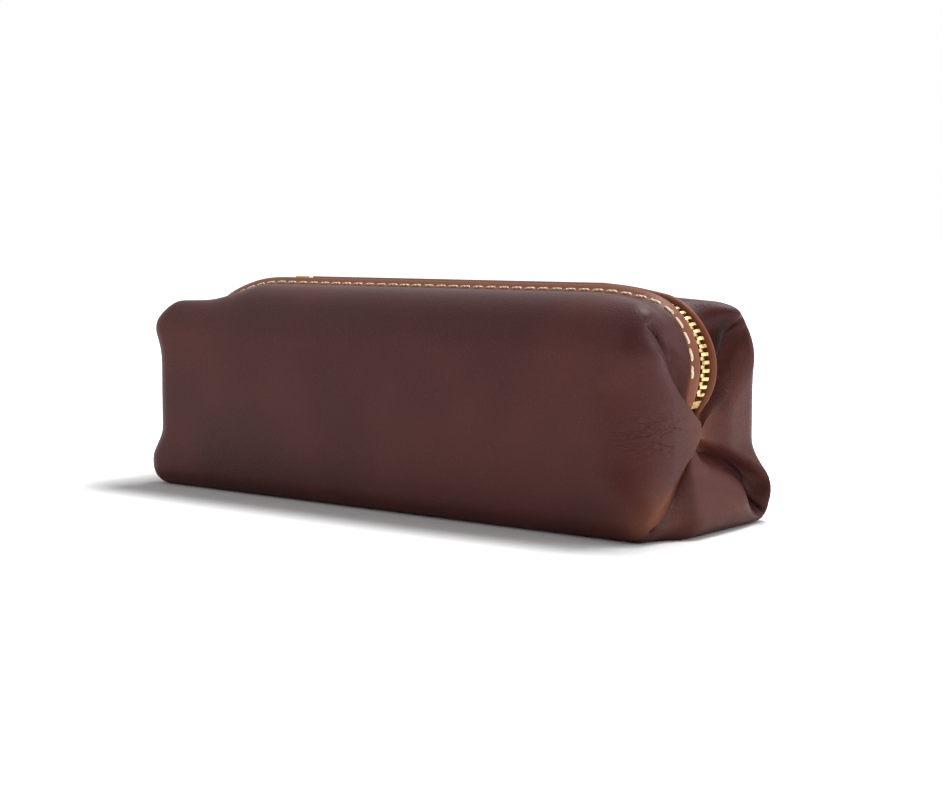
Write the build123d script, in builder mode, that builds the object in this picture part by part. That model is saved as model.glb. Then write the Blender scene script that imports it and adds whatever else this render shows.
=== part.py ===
"""Zipped leather brush case: one sheet of leather folded into a box-shaped pouch with pinched ends.

Frame: +X along the zip, +Z up, origin at the middle of the base where it stands. Millimetres.
"""

from build123d import *

import os
from math import asin, cos, degrees, hypot, radians, sin

# ---------------------------------------------------------------- the case
corner_reach = 203.0  # over the two rounded bottom corners of each end, along X
upright_inset = 5.2  # upright end folds, in from the rounded corners
case_width = 62.0
lip_height = 69.0
leather_thickness = 2.0
hem_thickness = 3.8  # leather turned under along the zip
hem_reach = 11.4  # inner edge of the turned hem, from the middle
top_flat = 14.0  # where the shoulders start, from the middle
base_radius = 8.0
corner_radius = 9.0  # upright corners, in plan
flare_height = 28.0  # the ends widen below this height
lobe_height = 9.0
lobe_radius = 7.0

# ------------------------------------------------------- the pinched ends
nose_inset = 3.2  # bent ends of the lips, in from the rounded corners
nose_turn = 118.0  # degrees that the lips follow round each end
near_slack = (35.5, 20.5, 75.0)  # the lips sink between two insets from the right corners, on a radius
far_slack = (39.5, 16.5, 62.0)
shoulder_bend = 20.3  # upper corners of the walls, in side view
pinch_height = 30.0
pinch_inset = 9.0
fold_angle = 35.0  # where the upper folds start on the shoulder
heel_angle = 50.0  # where the lower folds start on the base corner
fold_neck = 0.5  # half width of a fold deep inside
fold_round = 3.0
fold_bevel = fold_round * (1 - cos(radians(45)))  # middle of the rounded edge, cut as two flats
fold_depth = 8.0
fold_fade = 3.2  # depth of a fold where it runs out

# ------------------------------------------------------------- the zip
tape_thickness = 0.6
tape_reach = 10.8  # outer edge of each tape, from the middle
bead_gap = 0.9  # inner edge of each tape, from the middle of the closed zip
tooth_pitch = 2.2
tooth_thickness = 0.95
tooth_height = 2.4
head_height = 1.4
row_reach = 2.2  # outer edge of a row of teeth, from the middle
head_reach = 0.6  # how far a tooth passes the middle
near_chain_turn = 118.0  # degrees that the teeth follow round the right end
far_chain_turn = 108.0
tape_run_on = 12.0  # degrees past the teeth
slot_run_on = 15.0
spread = 1.4  # how far each row moves off the middle where the zip is open
stop_length = 2.4
stop_gap = 0.5

# ------------------------------------------------------------ the slider
slider_inset = 45.5  # middle of the parked slider, in from the left corners
slider_length = 11.0
slider_gap = 0.25  # between the slider and each leather lip
plate_thickness = 0.9
plate_bevel = 0.25
chain_clearance = 0.25
tape_clearance = 0.2
rim_width = 0.6
diamond_length = 4.6
diamond_clearance = 0.2
crown_length = 6.4
crown_width = 1.8
crown_window = 1.3
crown_beam = 0.6
crown_foot = 0.9
pull_length = 19.0
pull_width = 5.8
pull_thickness = 0.8
pull_bevel = 0.15
pull_bar = 0.9
pull_clearance = 0.3
pull_hole = 2.6

# --------------------------------------------------------- the stitching
stitch_line = 9.2
stitch_pitch = 4.8
stitch_length = 3.5
thread = 0.8
groove_width = 1.2
groove_depth = 0.5
stitch_turn = 94.0
groove_run_on = 4.0  # degrees past the stitches

# ------------------------------------------------------ what follows from them
half_width = case_width / 2
shoulder_radius = half_width - top_flat
shoulder_y = top_flat
shoulder_z = lip_height - shoulder_radius
end_reach = corner_reach - 2 * upright_inset
pinch_x = corner_reach / 2 - pinch_inset
nose_x = corner_reach / 2 - nose_inset
bend_z = lip_height - shoulder_bend
hem_bottom = lip_height - hem_thickness
tape_depth = hem_thickness + tape_thickness / 2
tape_mid = lip_height - tape_depth
hem_run_out = hem_thickness - leather_thickness  # past this the lips are no longer turned under
slider_rest = slider_inset - corner_reach / 2
slider_front = slider_rest - slider_length / 2
slider_back = slider_rest + slider_length / 2
slider_tail = row_reach + chain_clearance + rim_width
slider_nose = slider_tail + spread
slot_half = slider_nose + slider_gap
plate_gap = tooth_height / 2 + chain_clearance
plate_top = plate_gap + plate_thickness
pull_axis = plate_top + crown_window / 2
pinch = Vector(0, 0, pinch_height)
fold_top = Vector(
    0,
    shoulder_y + shoulder_radius * cos(radians(fold_angle)),
    shoulder_z + shoulder_radius * sin(radians(fold_angle)),
)
fold_base = Vector(
    0,
    half_width - base_radius + base_radius * cos(radians(heel_angle)),
    base_radius - base_radius * sin(radians(heel_angle)),
)
os.makedirs("parts", exist_ok=True)


def write(builder, name):
    """Label a finished piece and write it to its own STEP file."""
    builder.part.label = name
    export_step(builder.part, f"parts/{name}.step")


# ================================================================ leather body
def cross_section(inset):
    """The case on YZ: flat base, upright walls and round shoulders; the hollow steps in at the hem."""
    side = half_width - inset
    shoulder = shoulder_radius - inset
    top = lip_height - inset
    with BuildSketch(Plane.YZ.offset(-corner_reach / 2)) as section:
        with BuildLine():
            base = Line((0, inset), (half_width - base_radius, inset))
            heel = RadiusArc(base @ 1, (side, base_radius), -(base_radius - inset))
            wall = Line(heel @ 1, (side, shoulder_z))
            bow = RadiusArc(wall @ 1, (shoulder_y, top), -shoulder)
            if inset:
                Polyline(bow @ 1, (hem_reach, top), (hem_reach, hem_bottom), (0, hem_bottom))
            else:
                Line(bow @ 1, (0, top))
            mirror(about=Plane.YZ)
        make_face()
    return section.sketch


def fold_sector(corner):
    """Triangle on YZ from the pinch past a pair of fold corners."""
    far = pinch + (corner - pinch) * 3
    with BuildSketch(Plane.YZ.offset(-corner_reach)) as triangle:
        with BuildLine():
            Polyline((0, pinch_height), (far.Y, far.Z), (-far.Y, far.Z), close=True)
        make_face()
    with BuildPart() as sector:
        extrude(triangle.sketch, amount=2 * corner_reach)
    return sector.part


def end_envelope(inset):
    """Plan of the case at every height: upright above the flare, wider at the bottom corners."""
    with BuildPart() as envelope:
        with BuildSketch():
            RectangleRounded(corner_reach - 2 * inset, case_width, corner_radius)
        extrude(amount=lobe_height)
        with BuildSketch(Plane.XY.offset(lobe_height)):
            RectangleRounded(corner_reach - 2 * inset, case_width, corner_radius)
        with BuildSketch(Plane.XY.offset(flare_height)):
            RectangleRounded(end_reach - 2 * inset, case_width, corner_radius)
        loft()
        with BuildSketch(Plane.XY.offset(flare_height)):
            RectangleRounded(end_reach - 2 * inset, case_width, corner_radius)
        extrude(amount=lip_height - flare_height)
    return envelope.part


def side_view(inset):
    """Outline on XZ of the walls: rounded base edges, a foot for the envelope, round shoulders."""
    reach = end_reach / 2 - inset
    foot = corner_reach / 2 - inset
    top = lip_height - inset
    radius = shoulder_bend - inset
    with BuildSketch(Plane.XZ.offset(-case_width)) as outline:
        with BuildLine():
            base = Line((0, inset), (corner_reach / 2 - lobe_radius, inset))
            edge = RadiusArc(base @ 1, (foot, lobe_radius), -(lobe_radius - inset))
            side = Polyline(edge @ 1, (foot, flare_height), (reach, flare_height), (reach, bend_z))
            bend = RadiusArc(side @ 1, (reach - radius, top), -radius)
            Line(bend @ 1, (0, top))
            mirror(about=Plane.YZ)
        make_face()
    return outline.sketch


def both_ends(turn):
    """The same turn at either end, by the sign of X."""
    return {-1: turn, 1: turn}


def past_chain(run_on):
    """Turns that run on past the teeth at each end."""
    return {-1: far_chain_turn + run_on, 1: near_chain_turn + run_on}


def run_over(sign, depth, turn, run_out):
    """Side view of the zip's run from the middle over one end: straight, slack, then round the nose."""
    start_inset, end_inset, slack_radius = near_slack if sign > 0 else far_slack
    start = corner_reach / 2 - start_inset
    end = corner_reach / 2 - end_inset
    lean = asin((end - start) / slack_radius)
    nose_radius = (nose_x - end) / (1 - sin(lean))
    straight = Line((0, lip_height - depth), (sign * start, lip_height - depth))
    slack = JernArc(straight @ 1, (sign, 0), slack_radius - depth, -sign * degrees(lean))
    tip = slack @ 1
    if run_out:
        tip = Line(tip, tip + (slack % 1) * run_out) @ 1
    return JernArc(tip, slack % 1, nose_radius - depth, -sign * (turn - degrees(lean)))


def nose_view(inset):
    """Outline on XZ of the top panel, whose bent ends run down to the pinch."""
    depth, run_out = (hem_thickness, hem_run_out) if inset else (0, 0)
    with BuildSketch(Plane.XZ.offset(-case_width)) as outline:
        with BuildLine():
            for sign in (-1, 1):
                bend = run_over(sign, depth, nose_turn, run_out)
                Polyline(bend @ 1, (sign * (pinch_x - inset), pinch_height), (0, pinch_height))
        make_face()
    return outline.sketch


def wedge_relief(inset):
    """What the bottom fold leaves free on XZ as it leans in from the base to the pinch."""
    with BuildSketch(Plane.XZ.offset(-case_width)) as outline:
        with BuildLine():
            Polyline(
                (corner_reach / 2 - inset, lobe_height),
                (pinch_x - inset, pinch_height),
                (corner_reach, pinch_height),
                (corner_reach, lobe_height),
                close=True,
            )
        make_face()
        mirror(about=Plane.YZ)
    return outline.sketch


def fold_profile(plane, face, depth, inset):
    """Section of a fold: a narrow neck that opens between two edges, rounded on the outside."""
    neck = fold_neck + inset
    mouth = fold_neck + fold_round
    radius = fold_round - inset
    with BuildSketch(plane) as profile:
        with BuildLine():
            floor = Line((face - depth - inset, 0), (face - depth - inset, neck))
            side = Line(floor @ 1, (face - fold_round, neck))
            if inset:
                edge = Line(side @ 1, (face - fold_round + radius, mouth))
            else:
                edge = Polyline(side @ 1, (face - fold_bevel, neck + fold_bevel), (face, mouth))
            Polyline(edge @ 1, (corner_reach, mouth), (corner_reach, 0))
            mirror(about=Plane.XZ)
        make_face()
    return profile.sketch


def fold_cutter(corner, corner_face, inset):
    """A fold at the +X end, deep at the pinch and running out past its corner."""
    away = corner - pinch
    start = Plane(origin=pinch - away.normalized() * fold_neck, x_dir=(1, 0, 0), z_dir=away)
    finish = Plane(origin=corner, x_dir=(1, 0, 0), z_dir=away)
    with BuildPart() as cutter:
        shallow = fold_profile(finish, corner_face, fold_fade, inset)
        loft([fold_profile(start, end_reach / 2, fold_depth, inset), shallow], ruled=True)
        extrude(shallow, amount=away.length / 2)
    return cutter.part


def case_form(inset):
    """The pouch as a solid: inset 0 is its outside, and the leather's thickness gives its hollow."""
    top_sector = fold_sector(fold_top)
    base_sector = fold_sector(fold_base)
    with BuildPart() as nose:
        extrude(cross_section(inset), amount=corner_reach)
        extrude(nose_view(inset), amount=2 * case_width, mode=Mode.INTERSECT)
        add(top_sector, mode=Mode.INTERSECT)
    with BuildPart() as relief:
        extrude(wedge_relief(inset), amount=2 * case_width)
        add(base_sector, mode=Mode.INTERSECT)
    rise = fold_top.Z - bend_z
    shoulder_face = end_reach / 2 - shoulder_bend + (shoulder_bend**2 - rise**2) ** 0.5
    with BuildPart() as form:
        extrude(cross_section(inset), amount=corner_reach)
        extrude(side_view(inset), amount=2 * case_width, mode=Mode.INTERSECT)
        add(end_envelope(inset), mode=Mode.INTERSECT)
        add(top_sector, mode=Mode.SUBTRACT)
        add(relief.part, mode=Mode.SUBTRACT)
        add(nose.part)
        for corner, face in ((fold_top, shoulder_face), (fold_base, corner_reach / 2)):
            cutter = fold_cutter(corner, face, inset)
            for across in (cutter, mirror(cutter, about=Plane.XZ, mode=Mode.PRIVATE)):
                add(across, mode=Mode.SUBTRACT)
                add(mirror(across, about=Plane.YZ, mode=Mode.PRIVATE), mode=Mode.SUBTRACT)
    return form.part


with BuildPart() as hollow:
    add(case_form(leather_thickness))


def zip_band(inner, outer, turns, run_out, near, far):
    """A band that runs over the case and round both its ends, between two depths under the lips."""
    with BuildSketch(Plane.XZ.offset(-far)) as outline:
        with BuildLine():
            for sign in (-1, 1):
                under = run_over(sign, inner, turns[sign], run_out)
                over = run_over(sign, outer, turns[sign], run_out)
                Line(under @ 1, over @ 1)
        make_face()
    with BuildPart() as band:
        extrude(outline.sketch, amount=far - near)
    return band.part


with BuildPart() as leather_body:
    add(case_form(0))
    add(hollow.part, mode=Mode.SUBTRACT)
    slot_floor = tape_depth + tooth_height
    slot = zip_band(slot_floor, -stop_length, past_chain(slot_run_on), hem_run_out, -slot_half, slot_half)
    add(slot, mode=Mode.SUBTRACT)
    groove_turns = both_ends(stitch_turn + groove_run_on)
    for line in (-stitch_line, stitch_line):
        near = line - groove_width / 2
        groove = zip_band(groove_depth, -thread, groove_turns, 0, near, near + groove_width)
        add(groove, mode=Mode.SUBTRACT)
write(leather_body, "leather_body")


# ========================================================================= zip
def shift_at(travel):
    """How far a row stands off the middle: joined ahead of the slider, spread behind it."""
    along = (slider_back - travel) / slider_length
    return spread * min(max(along, 0), 1)


def half_runs(depth, turns, run_out):
    """The two halves of a run along the lips, each from the middle outwards, by the sign of X."""
    halves = {}
    for sign in (-1, 1):
        with BuildLine(Plane.XZ) as half:
            run_over(sign, depth, turns[sign], run_out)
        halves[sign] = half.wire()
    return halves


def run_plane(halves, travel, side, across=0):
    """Plane square to a run at a distance along it from the middle, facing along the run."""
    sign = 1 if travel >= 0 else -1
    place = halves[sign].position_at(abs(travel), position_mode=PositionMode.LENGTH)
    along = halves[sign].tangent_at(abs(travel), position_mode=PositionMode.LENGTH)
    return Plane(origin=(place.X, side * across, place.Z), x_dir=(0, side, 0), z_dir=along * sign)


def clamp(length, inner, inner_height, outer_height):
    """Metal folded over the bead of one tape, drawn on Plane.XY with the tape to +X."""
    half_tape = tape_thickness / 2
    with BuildPart() as metal:
        with BuildSketch(Plane.XY.offset(-length / 2)):
            with BuildLine():
                Polyline(
                    (inner, 0),
                    (inner, inner_height / 2),
                    (bead_gap, outer_height / 2),
                    (row_reach, outer_height / 2),
                    (row_reach, half_tape),
                    (bead_gap, half_tape),
                    (bead_gap, 0),
                )
                mirror(about=Plane.XZ)
            make_face()
        extrude(amount=length)
    return metal.part


chain = half_runs(tape_depth, past_chain(0), hem_run_out)
zip_run = half_runs(tape_depth, past_chain(tape_run_on), hem_run_out)
first_step = -int(chain[-1].length / tooth_pitch)
last_step = int(chain[1].length / tooth_pitch)
tooth = clamp(tooth_thickness, -head_reach, head_height, tooth_height)
top_stop = clamp(stop_length, bead_gap - tape_thickness, tooth_height, tooth_height)
top_stop_place = -(chain[-1].length + stop_gap + stop_length / 2)
bottom_stop_start = chain[1].length + stop_gap

for name, side, stagger in (("front", -1, 0), ("rear", 1, tooth_pitch / 2)):
    with BuildPart() as teeth:
        places = [step * tooth_pitch + stagger for step in range(first_step, last_step)]
        with Locations(*[run_plane(zip_run, place, side, shift_at(place)).location for place in places]):
            add(tooth)
    write(teeth, f"{name}_zip_teeth")

    with BuildPart() as stop:
        with Locations(run_plane(zip_run, top_stop_place, side, spread).location):
            add(top_stop)
    write(stop, f"{name}_top_stop")

    near, far = sorted((side * bead_gap, side * tape_reach))
    with BuildPart() as tape:
        half_tape = tape_thickness / 2
        tape_turns = past_chain(tape_run_on)
        add(zip_band(tape_depth + half_tape, tape_depth - half_tape, tape_turns, hem_run_out, near, far))
        add(hollow.part, mode=Mode.INTERSECT)
        with BuildSketch(Plane.XY):
            with BuildLine():
                Polyline(
                    (-corner_reach, 0),
                    (-corner_reach, side * (bead_gap + spread)),
                    (slider_front, side * (bead_gap + spread)),
                    (slider_back, side * bead_gap),
                    (slider_back, 0),
                    close=True,
                )
            make_face()
        extrude(amount=lip_height, mode=Mode.SUBTRACT)
    with BuildPart() as tape_run:
        add(tape.solids().sort_by(SortBy.VOLUME)[-1])
    write(tape_run, f"{name}_zip_tape")

with BuildPart() as bottom_stop:
    with BuildSketch(run_plane(zip_run, bottom_stop_start, 1)):
        Rectangle(2 * row_reach, tooth_height)
        with Locations((row_reach, 0), (-row_reach, 0)):
            Rectangle(2 * (row_reach - bead_gap), tape_thickness, mode=Mode.SUBTRACT)
    extrude(amount=stop_length)
write(bottom_stop, "bottom_stop")


# ====================================================================== slider
def slider_outline(wall):
    """Half plan of the slider, mirrored: wide at the nose that parts the rows, narrow at the tail."""
    with BuildLine() as outline:
        Polyline(
            (slider_front, 0),
            (slider_front, slider_nose - wall),
            (slider_front + diamond_length / 2, slider_nose - wall),
            (slider_back, slider_tail - wall),
            (slider_back, 0),
        )
        mirror(about=Plane.XZ)
    return outline.line


with BuildPart() as slider_body:
    with BuildSketch(Plane.XY.offset(tape_mid - plate_top)):
        add(slider_outline(0))
        make_face()
    extrude(amount=2 * plate_top)
    fillet(slider_body.edges().filter_by(Axis.Z).group_by(Axis.X)[0], rim_width / 2)
    with BuildSketch(Plane.XY.offset(tape_mid - plate_gap)):
        add(slider_outline(rim_width))
        make_face()
    extrude(amount=2 * plate_gap, mode=Mode.SUBTRACT)
    with BuildSketch(Plane.YZ.offset(slider_rest - slider_length)):
        with Locations((0, tape_mid)):
            Rectangle(4 * slider_nose, tape_thickness + 2 * tape_clearance)
    extrude(amount=2 * slider_length, mode=Mode.SUBTRACT)
    with BuildSketch(Plane.XY.offset(tape_mid - plate_gap)):
        with BuildLine():
            diamond_half = spread - head_reach - diamond_clearance
            tip_x = slider_front + diamond_length
            Polyline((slider_front, -diamond_half), (tip_x, 0), (slider_front, diamond_half), close=True)
        make_face()
    extrude(amount=2 * plate_gap)
    for plate in (slider_body.faces().sort_by(Axis.Z)[0], slider_body.faces().sort_by(Axis.Z)[-1]):
        chamfer(plate.edges(), plate_bevel)
write(slider_body, "slider_body")

with BuildPart() as slider_crown:
    crown_height = crown_window + crown_beam
    with BuildSketch(Plane.XZ.offset(-crown_width / 2)):
        with Locations((slider_rest, tape_mid + plate_top + crown_height / 2)):
            Rectangle(crown_length, crown_height)
        with Locations((slider_rest, tape_mid + plate_top + crown_window / 2)):
            Rectangle(crown_length - 2 * crown_foot, crown_window, mode=Mode.SUBTRACT)
    extrude(amount=crown_width)
    fillet(slider_crown.edges().filter_by(Axis.Y).group_by(Axis.Z)[-1], crown_beam)
write(slider_crown, "slider_crown")

with BuildPart() as pull_tab:
    eye_length = hypot(crown_length / 2, crown_height - crown_window / 2) + pull_clearance
    eye_width = crown_width + 2 * pull_clearance
    axis_z = tape_mid + pull_axis
    pull_round_x = slider_rest + pull_length - pull_width / 2
    with BuildSketch(Plane.XY.offset(axis_z - pull_thickness / 2)):
        with BuildLine():
            edge = Line((slider_rest, pull_width / 2), (pull_round_x, pull_width / 2))
            RadiusArc(edge @ 1, (slider_rest + pull_length, 0), pull_width / 2)
            Line((slider_rest, 0), edge @ 0)
            mirror(about=Plane.XZ)
        make_face()
        with Locations((slider_rest + eye_length / 2, 0)):
            Rectangle(eye_length, eye_width, mode=Mode.SUBTRACT)
        with Locations((pull_round_x, 0)):
            Circle(pull_hole / 2, mode=Mode.SUBTRACT)
    extrude(amount=pull_thickness)
    chamfer(pull_tab.faces().filter_by(Axis.Z).edges(), pull_bevel)
    with BuildSketch(Plane.XZ.offset(-pull_width / 2)):
        with Locations((slider_rest, axis_z)):
            Circle(pull_bar / 2)
    extrude(amount=pull_width)
write(pull_tab, "pull_tab")


# =================================================================== stitching
seam_run = half_runs(groove_depth, both_ends(stitch_turn), 0)
first_stitch = -int(seam_run[-1].length / stitch_pitch)
last_stitch = int(seam_run[1].length / stitch_pitch)
with BuildPart() as stitch:
    Box(thread, thread, stitch_length, align=(Align.CENTER, Align.MIN, Align.CENTER))

for name, side in (("front", -1), ("rear", 1)):
    with BuildPart() as stitching:
        places = [step * stitch_pitch for step in range(first_stitch, last_stitch + 1)]
        seats = [run_plane(seam_run, place, 1, side * stitch_line) for place in places]
        with Locations(*[seat.location for seat in seats]):
            add(stitch.part)
    write(stitching, f"{name}_stitching")
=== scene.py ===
"""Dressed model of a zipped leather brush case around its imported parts.

Lengths are in millimetres, as on a pattern, and turn into metres where a mesh gets its points.
"""

import math

import bpy
import numpy as np
from mathutils import Matrix, Vector


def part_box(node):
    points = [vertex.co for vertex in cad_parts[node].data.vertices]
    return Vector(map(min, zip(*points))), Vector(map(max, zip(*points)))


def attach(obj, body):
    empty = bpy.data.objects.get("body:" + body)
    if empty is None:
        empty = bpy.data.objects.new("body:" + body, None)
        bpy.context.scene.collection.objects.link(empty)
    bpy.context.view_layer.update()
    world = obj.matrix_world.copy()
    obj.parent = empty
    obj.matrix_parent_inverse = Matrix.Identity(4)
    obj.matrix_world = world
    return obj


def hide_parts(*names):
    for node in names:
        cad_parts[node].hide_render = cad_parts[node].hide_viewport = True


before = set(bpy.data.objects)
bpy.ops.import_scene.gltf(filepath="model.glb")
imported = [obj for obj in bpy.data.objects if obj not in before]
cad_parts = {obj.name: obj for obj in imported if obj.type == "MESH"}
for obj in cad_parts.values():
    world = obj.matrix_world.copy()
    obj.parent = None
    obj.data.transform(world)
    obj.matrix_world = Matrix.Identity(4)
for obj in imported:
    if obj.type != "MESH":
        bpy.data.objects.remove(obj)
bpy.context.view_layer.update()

MM = 0.001
bpy.ops.object.select_all(action="DESELECT")


# ------------------------------------------------------------------ sizes from the frame
def box_mm(node):
    """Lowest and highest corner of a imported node, in millimetres."""
    low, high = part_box(node)
    return np.array(low) / MM, np.array(high) / MM


case_high = box_mm("leather_body")[1]
slider_low, slider_high = box_mm("slider_body")
HALF_WIDTH = case_high[1]
TOP = case_high[2]
LIP = slider_high[1] + 0.25  # leather edge beside the slider, from the middle
HEM = 3.8  # leather turned under along the zip
LEATHER = 2.0  # thickness
NOSE_TURN = math.radians(118)
NOSE_REACH = case_high[0] - 3.2  # how far the bent lips stand out at each end
PINCH = np.array([0.0, 29.5])  # where the folds of an end meet, on YZ
PINCH_X = 92.0
CORE_X = 62.0  # the plain stretch of the case ends here
MARGIN_DROP = 1.7  # the strip beside the zip slopes down to the seam
SHOULDER_TOP = TOP - MARGIN_DROP - 0.5
SHOULDER = 17.0  # radius between the top and a wall
SHOULDER_Z = SHOULDER_TOP - SHOULDER
HEEL = 6.0  # radius between a wall and the base
WALL_SWELL = 0.7
LIP_CLOSE = 1.4  # the lips come closer to the teeth past the slider's run
SEAM_CLOSE = 1.0  # and so do the seams
GATHER_X = 87.0  # the leather is drawn together here, out of sight
FOLD_TOP = math.radians(42)  # where the upper folds start on the shoulder
FOLD_BASE = math.radians(50)  # where the lower folds start on the heel
FOLD_HALF = 3.4  # half width of leather that goes into a fold
SEAM = 9.2  # from the middle to a row of stitches
MIRRORED = np.array([-1, 1, 1])  # turns a +X end into a -X end
MERGED = 0.00001  # metres within which points become one


def smooth(start, end, value):
    """Rise from 0 to 1 between two values, with flat ends."""
    step = np.clip((value - start) / (end - start), 0, 1)
    return step * step * (3 - 2 * step)


def blend(first, second, share):
    return first + (second - first) * share


def bump(middle, width, value):
    """Rise to 1 at a middle value and back to 0 on both sides."""
    return np.exp(-(((value - middle) / width) ** 2))


# ------------------------------------------------------------------ the leather's section
def half_section():
    """Outline from the turned lip over the shoulder and down the wall to the middle of the base."""
    lip = [
        (LIP, TOP - HEM),
        (LIP - 0.15, TOP - 2.6),
        (LIP - 0.05, TOP - 1.5),
        (LIP + 0.4, TOP - 0.6),
        (LIP + 1.1, TOP - 0.1),
        (LIP + 1.8, TOP - 0.05),
        (SEAM - 1.4, TOP - 0.75),
        (SEAM - 0.7, TOP - 1.3),
        (SEAM, TOP - MARGIN_DROP),
        (SEAM + 1.0, SHOULDER_TOP + 0.15),
        (SEAM + 2.6, SHOULDER_TOP),
    ]
    turn = np.linspace(0, math.pi / 2, 24)
    middle = HALF_WIDTH - SHOULDER
    shoulder = [(middle + SHOULDER * math.sin(t), SHOULDER_Z + SHOULDER * math.cos(t)) for t in turn]
    rise = np.linspace(1, 0, 24)[1:]
    wall = [(HALF_WIDTH + WALL_SWELL * math.sin(math.pi * r), HEEL + (SHOULDER_Z - HEEL) * r) for r in rise]
    heel = [(HALF_WIDTH - HEEL + HEEL * math.cos(t), HEEL - HEEL * math.sin(t)) for t in turn[1:]]
    base = [(y, 0.0) for y in np.linspace(HALF_WIDTH - HEEL, 0, 12)[1:]]
    return np.array(lip + shoulder + wall + heel + base)


SECTION = half_section()
SECTION_RUN = np.concatenate([[0], np.cumsum(np.linalg.norm(np.diff(SECTION, axis=0), axis=1))])


def run_at(y, z):
    """Distance along the section of its point nearest to a place."""
    return SECTION_RUN[np.argmin(np.hypot(SECTION[:, 0] - y, SECTION[:, 1] - z))]


RUN_TOP = run_at(
    HALF_WIDTH - SHOULDER + SHOULDER * math.cos(FOLD_TOP),
    SHOULDER_Z + SHOULDER * math.sin(FOLD_TOP),
)
RUN_BASE = run_at(
    HALF_WIDTH - HEEL + HEEL * math.cos(FOLD_BASE),
    HEEL - HEEL * math.sin(FOLD_BASE),
)
RUN_SEAM = run_at(SEAM, TOP - MARGIN_DROP)


def section_at(run):
    """Place on YZ at a distance along the section, with y positive."""
    return np.stack([np.interp(run, SECTION_RUN, SECTION[:, k]) for k in (0, 1)], axis=-1)


def columns():
    """Distances along the section of the sheet's columns, closer together at the seam and the folds."""
    marks = [
        (0, RUN_SEAM - 1.4, 11),
        (RUN_SEAM - 1.4, RUN_SEAM + 1.4, 8),
        (RUN_SEAM + 1.4, RUN_TOP - FOLD_HALF, 16),
        (RUN_TOP - FOLD_HALF, RUN_TOP + FOLD_HALF, 26),
        (RUN_TOP + FOLD_HALF, RUN_BASE - FOLD_HALF, 40),
        (RUN_BASE - FOLD_HALF, RUN_BASE + FOLD_HALF, 26),
        (RUN_BASE + FOLD_HALF, SECTION_RUN[-1], 16),
    ]
    parts = [np.linspace(start, end, count, endpoint=False) for start, end, count in marks]
    return np.concatenate(parts + [SECTION_RUN[-1:]])


# ------------------------------------------------------------------ the pinched ends
# v runs over one end: 0 where the plain stretch stops, 1 out of sight behind the pinch
V_FLAT = 0.12  # the slack arc of the lips ends
V_ARC = 0.66  # the tight arc ends
V_RUN = 0.94  # the pinch is reached


class Nose:
    """Line of the lips over one end: straight, a slack arc, then a tight one towards the pinch."""

    def __init__(self, slack_start, slack_end, slack_radius):
        self.slack_start = slack_start
        self.slack_end = slack_end
        self.slack_radius = slack_radius
        self.lean = math.asin((slack_end - slack_start) / slack_radius)
        self.drop = slack_radius * (1 - math.cos(self.lean))
        self.radius = (NOSE_REACH - slack_end) / (1 - math.sin(self.lean))

    def at(self, v):
        """Angle, X and Z of the lips' crest for rows v."""
        x = blend(CORE_X, self.slack_end, np.clip(v / V_FLAT, 0, 1))
        lean = np.arcsin(np.clip((x - self.slack_start) / self.slack_radius, 0, 1))
        z = TOP - self.slack_radius * (1 - np.cos(lean))
        late = np.clip((v - V_FLAT) / (V_ARC - V_FLAT), 0, 1)
        angle = blend(self.lean, NOSE_TURN, late)
        x = x + self.radius * (np.sin(angle) - math.sin(self.lean)) * (v > V_FLAT)
        z = z + self.radius * (np.cos(angle) - math.cos(self.lean)) * (v > V_FLAT)
        down = np.clip((v - V_ARC) / (V_RUN - V_ARC), 0, 1)
        return np.where(v < V_FLAT, lean, angle), blend(x, PINCH_X, down), blend(z, PINCH[1] + 1.0, down)


NEAR_NOSE = Nose(slack_start=66.0, slack_end=81.0, slack_radius=75.0)
FAR_NOSE = Nose(slack_start=62.0, slack_end=85.0, slack_radius=54.0)


class Fold:
    """One fold beside a wall.

    The sheet sinks by the depth, turns under the wall by the overlap and opens over the width. The
    wall's edge rolls over on a radius. The fold's line bows towards the panel, most where late says,
    and the panel is dented where the fold starts.
    """

    def __init__(self, depth, overlap, width, roll, bow=0.0, late=1.0, dent=0.0):
        self.depth = depth
        self.overlap = overlap
        self.width = width
        self.roll = roll
        self.bow = bow
        self.late = late
        self.dent = dent


class Tip:
    """Where a wall ends at the pinch: across, height, roundness, depth behind the face, and its tuck."""

    def __init__(self, across, height, blunt, depth, tuck):
        self.across = across
        self.height = height
        self.blunt = blunt
        self.depth = depth
        self.tuck = tuck


class Sag:
    """How far the top sinks towards an end, from one X to another, most along a line beside the zip."""

    def __init__(self, amount, start, end, middle, width):
        self.amount = amount
        self.start = start
        self.end = end
        self.middle = middle
        self.width = width

    def at(self, x, y, z):
        sunk = self.amount * smooth(self.start, self.end, x)
        return sunk * bump(self.middle, self.width, y) * smooth(34, 60, z)


class Face:
    """Profile of a wall's upright end: its reach in X, a swell high up and a flare at the foot."""

    def __init__(self, reach, ear, ear_height, flare, flare_top, corner):
        self.reach = reach
        self.ear = ear
        self.ear_height = ear_height
        self.flare = flare
        self.flare_top = flare_top
        self.corner = corner

    def foot(self):
        return self.reach + self.flare

    def at(self, z, out):
        flared = self.flare * smooth(self.flare_top, 8, z)
        return self.reach + (self.ear * bump(self.ear_height, 7, z) + flared) * out


class End:
    """How one wall lies at one end of the case."""

    def __init__(self, nose, face, tip, sag, strip_fall, upper, lower):
        self.nose = nose
        self.face = face
        self.tip = tip
        self.sag = sag
        self.strip_fall = strip_fall
        self.upper = upper
        self.lower = lower


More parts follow.
